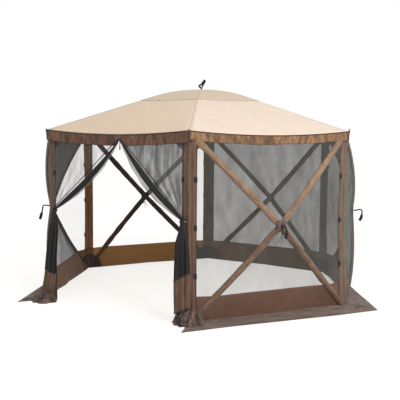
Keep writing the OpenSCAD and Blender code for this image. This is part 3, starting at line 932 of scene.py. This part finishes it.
def strap_tails(k):
    """Two thin limp tails that hang below a hub."""
    for i, (dx, drop) in enumerate(((0.012, 0.145), (0.004, 0.165))):
        tail = bezier([[0.0, 0.0, 0.0], [dx * 0.2, 0.012, -0.03], [dx * 1.2, 0.016, -drop * 0.45],
                       [dx * 2.6, 0.014, -drop * 0.75], [dx * 4.4, 0.016, -drop]], 26)
        path = on_side(k, tail + np.array([0, WALL_APO + HUB_OUT + 0.021 - 0.004, HUB_Z - 0.008]))
        piece = tube(f"wall_{k}_strap_tail_{i + 1}", path, TAIL_RADIUS, WEBBING, 8)
        spots = [tuple(float(v) for v in spot) for spot in path]
        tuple(spots[0])
        float(run_along(path)[-1])
        attach(piece, "webbing", f"wall_{k}_hub")


for k in WALLS:
    wall_panels(k)
    wall_sleeves(k)
    wall_rods(k)
    hub_cover(k)
    pull_strap(k)
    if k in PLAIN_HUBS:
        strap_tails(k)


# ---- Corner strips, tabs and pockets ----

def corner_point(c, q, z, lift):
    """A point on the band round corner c, lying on the walls' cloth: q runs from -1 to 1 across it."""
    leg = STRIP_LEG * np.abs(q)
    away = np.sign(q) * math.radians(120)
    walls = [(wall, sign) for wall, sign in ((c, 1), ((c + 4) % 6 + 1, -1)) if wall != DOOR]
    depth = sum(wall_depth(wall, sign * HALF, z + 0 * q) for wall, sign in walls) / 2
    for wall, sign in walls:
        depth = np.where(np.sign(q) == sign, wall_depth(wall, sign * (HALF - leg), z + 0 * q), depth)
    lift = lift + depth
    x = CORNER_R + leg * np.cos(away) * np.where(q == 0, 0, 1)
    y = leg * np.sin(away)
    lean = np.sign(q) * math.radians(30) * np.clip(np.abs(q) * 4, 0, 1)
    return x + lift * np.cos(lean), y + lift * np.sin(lean), z


def corner_strip(c):
    """Pleated strip of cloth round corner c, from the ground to the eave."""
    z = down(0.0, WALL_TOP - 0.028, 150)
    q = sideways(-1, 1, 41)
    drift = 0.6 * ripple(0 * z, z, 720 + c, 4, 1, 5)
    pleat = 0.0038 * np.cos(q * 11.0 + drift) + 0.0030 * ripple(q * 0.18, z, 700 + c, 9, 3, 34)
    lift = 0.004 + 0.008 * (1 - q ** 2) + pleat * (1 - np.abs(q) ** 3)
    x, y, z2 = corner_point(c, q + 0 * z, z + 0 * q, lift)
    seam = (1 - np.abs(q)) * STRIP_LEG + 0 * z
    # Corners 2 and 5 take the lighter, lit copies of the strip cloth, as painted light.
    return patches(f"corner_strip_{c}", [(at_corner(c, xyz(x, y, z2)), cut(q * STRIP_LEG, z), seam)],
                   {2: STRIP_PAINTED_LIGHT, 5: STRIP_LIT}.get(c, STRIP), STIFF)


def corner_cords(c):
    """Dark piping down both edges of a corner strip."""
    z = np.linspace(0.0, WALL_TOP - 0.03, 60)
    for i, q in enumerate((-0.97, 0.97)):
        x, y, z2 = corner_point(c, np.full_like(z, q), z, 0.0055)
        piping = tube(f"corner_piping_{c}_{i + 1}", at_corner(c, xyz(x, y, z2)), PIPING_RADIUS, BINDING, 8)
        attach(piping, "brown_cloth", "root")


def tab_grids(c):
    """Small webbing tabs, three down each edge of a strip."""
    for q in (-0.80, 0.80):
        for i in (1, 2, 3):
            v = down(-1, 1, 11)
            z = i * (EAVE_Z / 4) + 0.027 * v
            w = sideways(-0.20, 0.20, 7)
            x, y, z2 = corner_point(c, q + w + 0 * z, z + 0 * w, 0.009 + 0.006 * (1 - v ** 4))
            yield at_corner(c, xyz(x, y, z2)), cut(w * STRIP_LEG, z), 0.01 + 0 * w * z


for c in SIDES:
    strip = corner_strip(c)
    declare(strip)
    attach(strip, "brown_cloth", "root", "corner_strips")
    corner_cords(c)

tabs = patches("strip_webbing_tabs", [g for c in SIDES for g in tab_grids(c)], WEBBING, WEB)
attach(tabs, "webbing", "root", "strip_tabs")


def corner_gusset(k, hand, size, lift):
    """Triangle of cloth in a top corner of a wall, behind the valance and the strip."""
    a = down(0, 1, 13)
    b = sideways(0, 1, 13)
    x = hand * (HALF - 0.006 - size * a * (1 - b * 0.999))
    z = WALL_TOP - 0.01 - 0.79 * size * b + 0 * a
    x, z = np.broadcast_arrays(x, z)
    y = WALL_APO + (wall_depth(k, x, z) if k != DOOR else 0) + lift + 0.003 * ripple(x, z, 650 + k, 7, 20, 60)
    return on_side(k, xyz(x, y, z)), cut(x, z), np.minimum(a, 1 - a) * size + 0 * b


gussets = [corner_gusset(k, hand, 0.260, 0.0050) for k in WALLS for hand in (1, -1)]
gussets += [corner_gusset(DOOR, hand, 0.275, -0.004) for hand in (1, -1)]
gusset_piece = patches("top_corner_gussets", gussets, GUSSET, CLOTH)
attach(gusset_piece, "brown_cloth", "root")


def quarter_patch(k, hand):
    """Quarter-round patch inside a bottom corner."""
    r = down(0.004, 0.185, 12)
    a = sideways(0, math.pi / 2, 19)
    x = hand * (HALF - 0.005 - r * np.cos(a))
    z = 0.003 + r * np.sin(a)
    y = WALL_APO + wall_depth(k, x, z) - 0.005
    return on_side(k, xyz(x, y, z)), cut(x, z), 0.185 - r + 0 * a


def inner_tape(k, hand):
    """Thin seam tape up the inside of the skirt behind each bottom pole."""
    f = np.linspace(0.10, SKIRT_H / HUB_Z, 24)
    path = xyz(hand * HALF * (1 - f), 0, HUB_Z * f)
    path[:, 1] = WALL_APO + wall_depth(k, path[:, 0], path[:, 2]) - 0.004
    return webbing_strip(k, path, 0.010, (0.0, -1.0, 0.0))


inner = [quarter_patch(k, hand) for k in WALLS for hand in (1, -1)]
inner_patches = patches("bottom_corner_patches", inner, PATCH, CLOTH)
attach(inner_patches, "brown_cloth", "root", "corner_patches")
for k in WALLS:
    for hand, word in HANDS:
        tape = patches(f"skirt_tape_{k}_{word}", [inner_tape(k, hand)], PATCH, THIN)
        blend_wall(tape, k, "bottom")


# ---- Ground flap ----

# By wall: what the flap's width gains at its +x end and at its -x end; below 0 it is narrower there.
FLAP_MORE = {1: (-0.075, 0.040), 2: (0.040, -0.19), 3: (-0.19, 0.0), 4: (0.0, -0.08), 5: (-0.08, 0.010)}


def flap_grid(k):
    """Flap on the ground outside wall k, crumpled towards its corners."""
    q = sideways(-1, 1, 150)
    v = down(0, 1, 22)
    inner = WALL_APO + 0.004 + wall_depth(k, q * HALF, 0 * q)
    before, after = FLAP_MORE[k]
    more = (after + before) / 2 + (before - after) / 2 * q
    y = inner + (FLAP_APO - 0.004 + more + 0.008 * ripple(q, 0 * q, 800 + k, 5, 3, 9) - inner) * v
    x = q * (y - (inner - WALL_APO - 0.004) * (1 - v) * (1 - q ** 6)) * TAN30
    corner = np.clip((np.abs(q) - 0.80) / 0.2, 0, 1) ** 1.5
    wave = 0.5 + 0.5 * ripple(x, y, 820 + k, 8, 10, 34)
    ridge = np.abs(ripple(x * 1.4, y, 840 + k, 8, 30, 70))
    if k == 1:
        x = x + 0.05 * v * smooth((q - 0.75) * 4)
    edge = smooth((1 - v) * 5) * smooth(v * 5 + 0.1) * smooth((1 - np.abs(q)) * 14)
    heap = 0.060 if k == 5 else 0.030
    z = 0.0022 + (0.008 * wave + heap * corner * ridge) * edge + 0.014 * (1 - v) ** 6
    seam = np.minimum(v, 1 - v) * 0.27 + 0 * q
    return on_side(k, xyz(x, y, z)), cut(x, y), seam


for k in WALLS:
    flap = patches(f"ground_flap_{k}", [flap_grid(k)], FLAP, CLOTH)
    declare(flap)
    attach(flap, "brown_cloth", "root", "ground_flap")


def foot_bunch(c, shift, tall):
    """Spare cloth bunched in hard folds round the foot of a corner beside the doorway."""
    a = sideways(math.radians(-125), math.radians(125), 180)
    v = down(0, 1, 40)
    fold = ripple(a * 0.16, v * 0.10, 900 + c, 9, 20, 90)
    bend = 0.9 * np.sin(2.3 * a + c) * v + 0.5 * fold
    ridges = np.abs(np.sin(a * 4.6 + 2.5 * v + c + bend)) ** 0.55
    small = np.abs(np.sin(a * 11 - 3.0 * v + 2 * c + bend))
    r = 0.034 + 0.118 * v ** 0.85 + (0.034 * (ridges - 0.6) + 0.010 * (small - 0.5)) * v ** 0.6
    r = r * (1 + 0.12 * np.sin(a * 1.7 + c))
    height = tall * (1 - v) ** 1.15 * (1 + 0.16 * np.sin(3 * a + c))
    height = height + 0.040 * (ridges - 0.3) * np.sin(math.pi * v)
    z = np.maximum(height + 0.010 * (small - 0.4) * (1 - v), 0.002 + 0.010 * ridges * (1 - v))
    x, y = CORNER_R - 0.030 + r * np.cos(a), r * np.sin(a) * 1.1
    seam = np.minimum(v, 1 - v) * 0.14 + 0 * a
    points = xyz(x, y, z) + np.array([shift[0], shift[1], 0.0])
    piece = patches(f"foot_bunch_{c}", [(at_corner(c, points), cut(a * 0.16, v * 0.22), seam)],
                    BUNCH, STIFF)
    declare(piece)
    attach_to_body(piece, "root")


def foot_webbing(c):
    """Loop of webbing that lies on the bunched cloth at corner c."""
    loop = bezier([[0.02, -0.05, 0.012], [0.06, -0.100, 0.070], [0.12, -0.115, 0.075],
                   [0.15, -0.075, 0.020], [0.11, -0.03, 0.014], [0.05, -0.06, 0.020]], 30)
    path = loop + np.array([CORNER_R - 0.02, 0, 0])
    half_width, half_thick = np.full(30, 0.016), np.full(30, 0.010)
    strap = strap_loft(f"foot_webbing_{c}", lambda p: at_corner(c, p), path, half_width, half_thick)
    attach(strap, "webbing", "root")


foot_bunch(1, (0.0, 0.0), 0.185)
foot_webbing(1)
foot_bunch(6, (0.115, 0.01), 0.110)


# ---- Doorway curtains ----

def curtain_edge(hand, t, out=0.0):
    """Free edge of a curtain from the doorway's top (t = 0) to its tie (t = 1), bowed by its weight."""
    x0, x1 = hand * ZIP_X + 0.008, TIE_X[hand] + 0.014
    x = x0 + (x1 - x0) * t - 0.036 * np.sin(math.pi * t) - out
    z = ZIP_Z + (TIE_Z - ZIP_Z) * t - 0.030 * np.sin(math.pi * t) - out * 0.7
    y = WALL_APO + 0.026 + 0.022 * smooth(t)
    return hand * x, y + 0 * x, z


def swag(hand, word):
    """Sheer part of a curtain between the eave, the corner strip and the free edge."""
    t = down(0, 1, 70)
    u = sideways(0, 1, 48)
    fx, fy, fz = curtain_edge(hand, t)
    sx, sz = hand * (HALF - 0.068), WALL_TOP - 0.02 + (TIE_Z + 0.015 - WALL_TOP + 0.02) * t
    fold = 0.014 * smooth(t * 1.2) * (1 - 0.75 * t) * np.sin(u * 27 + 1.5 * np.sin(3 * t))
    fold = fold * np.sin(math.pi * u)
    fold = fold + 0.006 * ripple(u * 1.2, t, 31 + hand, 7, 4, 14) * np.sin(math.pi * u) * (1 - t)
    x, z = fx + (sx - fx) * u, fz + (sz - fz) * u
    y = fy + (WALL_APO + 0.012 - fy) * u + fold
    seam = np.minimum(u, 1 - u) * np.abs(sx - fx) + 0 * t
    grid = on_side(DOOR, xyz(x, y, z)), cut(x, z), seam
    piece = patches(f"{word}_curtain_swag", [grid], CURTAIN_NETS[hand])
    declare(piece)
    attach(piece, "curtain_cloth", "root", f"{word}_curtain")


def curtain_roll(hand, word):
    """Rolled hem and zip along a curtain's free edge, a second line of fold and a loose edge of net."""
    t = np.linspace(0, 1, 60)
    x, y, z = curtain_edge(hand, t)
    belly = np.sin(math.pi * np.clip(t * 0.70 + 0.12, 0, 1)) ** 1.2 * 0.030
    thick = 0.008 + belly * (1 - 0.55 * smooth((t - 0.8) * 5))
    thick = thick * (0.42 + 0.58 * smooth(t * 2.6))
    roll = tube(f"{word}_curtain_roll", on_side(DOOR, xyz(x, y - 0.006, z)), thick, DENSE_NET, 16, 0.75)
    attach(roll, "curtain_cloth", "root")
    zx, zy, zz = curtain_edge(hand, t, 0.004)
    tape = webbing_strip(DOOR, xyz(zx, zy + 0.6 * thick + 0.002, zz), 0.016)
    far = np.sin(math.pi * t) ** 0.7
    fx, fy, fz = curtain_edge(hand, t, (-0.042 if hand > 0 else -0.060) * far)
    line = webbing_strip(DOOR, xyz(fx, fy + 0.016, fz), 0.009)
    tape_piece = patches(f"{word}_curtain_zip", [tape, line], WEBBING, 0.0016)
    attach(tape_piece, "zip_plastic", "root")
    v = sideways(0, 1, 8)
    width = {1: 0.048, -1: 0.066}[hand] * far
    bx, by, bz = curtain_edge(hand, t[:, None], width[:, None] * v)
    flutter = 0.006 * np.sin(t[:, None] * 31 + hand) * v
    points = on_side(DOOR, xyz(bx, by - 0.004 + flutter, bz))
    grid = points, cut(v * 0.085, t[:, None] * 1.1), 0.02 + 0 * bx
    loose = patches(f"{word}_curtain_loose_edge", [grid], LOOSE_NET)
    attach(loose, "curtain_cloth", "root")


BUNDLE_SEAM = {1: (0.333, 0.030), -1: (0.457, 0.045)}
BUNDLE_HALF = {1: (0.062, 0.042), -1: (0.076, 0.046)}
BUNDLE_DRIFT = {1: 0.066, -1: 0.004}


def bundle_grid(hand, z_top, z_low, seam_top, seam_low):
    """Stretch of a hanging bundle: a pleated tube that widens downwards and swings to the corner."""
    v = down(0, 1, 60)
    a = sideways(0, 2 * math.pi, 161)
    slope = BUNDLE_SEAM[hand][1]
    top = z_top + slope * hand * seam_top * np.cos(a)
    low = z_low + slope * hand * seam_low * np.cos(a)
    z = top + (low - top) * v
    fall = np.clip((TIE_Z - z) / TIE_Z, 0, 1)
    pleat = np.sin(a * 7 + hand + 1.4 * np.sin(3 * fall)) + 0.6 * np.sin(a * 13 + 2 * hand + 2 * fall)
    grow = smooth(fall * 4.0) * 0.72 + 0.28 * smooth(fall * 1.5)
    half_x, half_y = BUNDLE_HALF[hand]
    rx = 0.020 + (half_x - 0.020) * grow
    ry = 0.016 + (half_y - 0.016) * grow
    radius = 1 + 0.17 * pleat * (0.35 + 0.65 * grow)
    drift = BUNDLE_DRIFT[hand] * (smooth(fall * 1.3) + 0.75 * smooth((fall - 0.66) * 3.5))
    x = hand * (TIE_X[hand] + drift) + rx * radius * np.cos(a)
    y = CURTAIN_Y + 0.006 + ry * radius * np.sin(a)
    seam = 0.03 + 0 * a * v
    return on_side(DOOR, xyz(x, y, z)), cut(a * float(rx.mean()), z), seam


def bundle(hand, word):
    """Net part, brown part and the bindings, which slant across the bundle."""
    seam_z, foot_z = BUNDLE_SEAM[hand][0], {1: 0.030, -1: 0.135}[hand]
    parts = (("mesh", DENSE_NET, (TIE_Z + 0.01, seam_z, 0, 1)),
             ("skirt", STRIP, (seam_z + 0.004, foot_z, 1, 0.8)))
    for part, material, heights in parts:
        piece = patches(f"{word}_curtain_{part}", [bundle_grid(hand, *heights)], material)
        declare(piece)
        attach(piece, "curtain_cloth", "root", f"{word}_curtain")
    for part, z, slant, radius in (("seam", seam_z, 1, 0.0035), ("hem", foot_z + 0.003, 0.8, 0.006)):
        edge = bundle_grid(hand, z, z - 0.05, slant, 1)[0][0]
        middle = edge.mean(0)
        edge = middle + (edge - middle) * 1.03
        binding = tube(f"{word}_curtain_{part}_binding", edge[:-1], radius, BINDING, 6)
        attach(binding, "curtain_cloth", "root")


def curtain_tie(hand, word):
    """Webbing loop round the bundle, hooked back to the corner strip, with a pale toggle on it."""
    ring_z = TIE_Z - 0.006
    a = np.linspace(0, 2 * math.pi, 40)
    ring_x, ring_y = hand * TIE_X[hand] + 0.030 * np.cos(a), CURTAIN_Y + 0.027 * np.sin(a)
    ring = xyz(ring_x, ring_y, ring_z + 0.004 * np.sin(a * 2))
    hook = bezier([[hand * (TIE_X[hand] + 0.026), CURTAIN_Y, ring_z],
                   [hand * (TIE_X[hand] + 0.046), CURTAIN_Y - 0.02, ring_z + 0.004],
                   [hand * (HALF - 0.030), WALL_APO + 0.014, ring_z + 0.010]], 16)
    strips = [webbing_strip(DOOR, ring, 0.018, xyz(np.cos(a), np.sin(a), 0 * a)),
              webbing_strip(DOOR, hook, 0.018, (0.4 * hand, 1.0, 0.0))]
    tie = patches(f"{word}_curtain_tie", strips, WEBBING, 0.0022)
    attach(tie, "webbing", "root", "curtain_ties")
    rod = np.linspace(-0.017, 0.017, 9)
    middle = np.array([hand * (TIE_X[hand] + 0.034), CURTAIN_Y + 0.004, ring_z + 0.004])
    path = middle + rod[:, None] * np.array([0.96 * hand, 0.10, 0.25])
    size = 0.0052 + 0.0016 * np.cos(np.linspace(-1.4, 1.4, 9)) - 0.004 * np.abs(np.linspace(-1, 1, 9)) ** 6
    toggle = tube(f"{word}_tie_toggle", on_side(DOOR, path), size, TOGGLE, 12)
    attach(toggle, "zip_plastic", "root")


for hand, word in HANDS:
    swag(hand, word)
    curtain_roll(hand, word)
    bundle(hand, word)
    curtain_tie(hand, word)

zip_z = np.linspace(0.004, WALL_TOP - 0.06, 60)
zip_strips = [webbing_strip(DOOR, xyz(hand * (HALF - 0.046), WALL_APO + 0.006, zip_z), 0.016)
              for hand in (1, -1)]
door_zip = patches("door_side_zips", zip_strips, WEBBING, WEB)
attach(door_zip, "zip_plastic", "root")


# ---- Roof pull loop ----

LOOP_TURN = -56
LOOP_STEPS = 70


def roof_loop():
    """Stiff folded webbing above the peak: a short stem, a doubled loop that leans over and its loose end."""
    lean = bezier([[0.0, 0, -0.002], [-0.004, 0, 0.022], [-0.026, 0, 0.036], [-0.026, 0, 0.050],
                   [0.000, 0, 0.066], [0.020, 0, 0.092], [0.036, 0, 0.108], [0.034, 0, 0.088],
                   [0.014, 0, 0.056], [0.008, 0, 0.030]], LOOP_STEPS)
    step = np.arange(LOOP_STEPS)
    wide = np.full(LOOP_STEPS, 0.0150)
    thick = 0.0095 + 0.0030 * smooth((step - 30) / 6) * smooth((62 - step) / 6)
    peak = np.array([0, 0, PEAK_Z])
    path = xyz(0, lean[:, 0], lean[:, 2])
    return strap_loft("roof_webbing_loop", lambda p: turned(p, LOOP_TURN) + peak, path, wide, thick)


attach(roof_loop(), "webbing", "roof_hub", "roof_pull_loop")


# ---- CAD parts that stay, with better materials ----

KEPT = {"roof_hub": NYLON, "zip_slider": ZIP, "zip_pull": ZIP, "corner_pockets": WEBBING,
        "stake_tabs": WEBBING}
KEPT.update({f"wall_{k}_hub": NYLON for k in WALLS})
for name, material in KEPT.items():
    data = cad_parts[name].data
    data.materials.clear()
    data.materials.append(material)


# ---- Floor, light and camera ----

FLOOR_HALF = 40
FLOOR_Z = -0.001
shade = Shader("pale_floor")
paint = shade.add("ShaderNodeBsdfPrincipled", Base_Color=(0.22, 0.22, 0.22, 1.0))
paint.inputs["Roughness"].default_value = 0.9
paint.inputs["Emission Color"].default_value = (1.0, 0.975, 0.95, 1.0)
paint.inputs["Emission Strength"].default_value = 0.77
corners = [(x * FLOOR_HALF, y * FLOOR_HALF, FLOOR_Z) for x, y in ((-1, -1), (1, -1), (1, 1), (-1, 1))]
floor = mesh_piece("floor", corners, [(0, 1, 2, 3)], shade.finish(paint.outputs[0]))


def lamp(name, where, aim, size, power, colour=(1.0, 1.0, 1.0)):
    """A square area lamp at a place, aimed at another."""
    data = bpy.data.lights.new(name, "AREA")
    data.size = size
    data.energy = power
    data.color = colour
    light = bpy.data.objects.new(name, data)
    light.location = where
    light.rotation_euler = (Vector(aim) - Vector(where)).to_track_quat("-Z", "Y").to_euler()
    bpy.context.scene.collection.objects.link(light)


lamp("key", (9.0, -4.0, 7.0), (0, 0, 1.0), 5.0, 1400, (1.0, 0.97, 0.93))
lamp("fill", (-7.0, -8.0, 6.0), (0, 0, 1.0), 7.0, 60)
world = bpy.data.worlds.new("studio")
bpy.context.scene.world = world
world.use_nodes = True
world.node_tree.nodes["Background"].inputs[0].default_value = (1.0, 1.0, 1.0, 1.0)
world.node_tree.nodes["Background"].inputs[1].default_value = 1.0
bpy.context.scene.view_settings.view_transform = "Standard"

CAMERA_AZIMUTH = math.radians(33.59)
CAMERA_AWAY = 8.65
CAMERA_HEIGHT = 1.859
CAMERA_PITCH = math.radians(5.47)
CAMERA_ROLL = math.radians(0.38)
CAMERA_YAW = -0.0011
camera_data = bpy.data.cameras.new("camera")
camera_data.sensor_width = 36.0
camera_data.lens = 64.98
camera = bpy.data.objects.new("camera", camera_data)
ahead = Vector((-math.sin(CAMERA_AZIMUTH - CAMERA_YAW), math.cos(CAMERA_AZIMUTH - CAMERA_YAW), 0))
right = Vector((ahead.y, -ahead.x, 0))
forward = ahead * math.cos(CAMERA_PITCH) - Vector((0, 0, math.sin(CAMERA_PITCH)))
above = right.cross(forward)
right, above = (right * math.cos(CAMERA_ROLL) + above * math.sin(CAMERA_ROLL),
                above * math.cos(CAMERA_ROLL) - right * math.sin(CAMERA_ROLL))
turn = Matrix((right, above, -forward)).transposed().to_4x4()
camera.matrix_world = Matrix.Translation((math.sin(CAMERA_AZIMUTH) * CAMERA_AWAY,
                                          -math.cos(CAMERA_AZIMUTH) * CAMERA_AWAY, CAMERA_HEIGHT)) @ turn
bpy.context.scene.collection.objects.link(camera)
bpy.context.scene.camera = camera
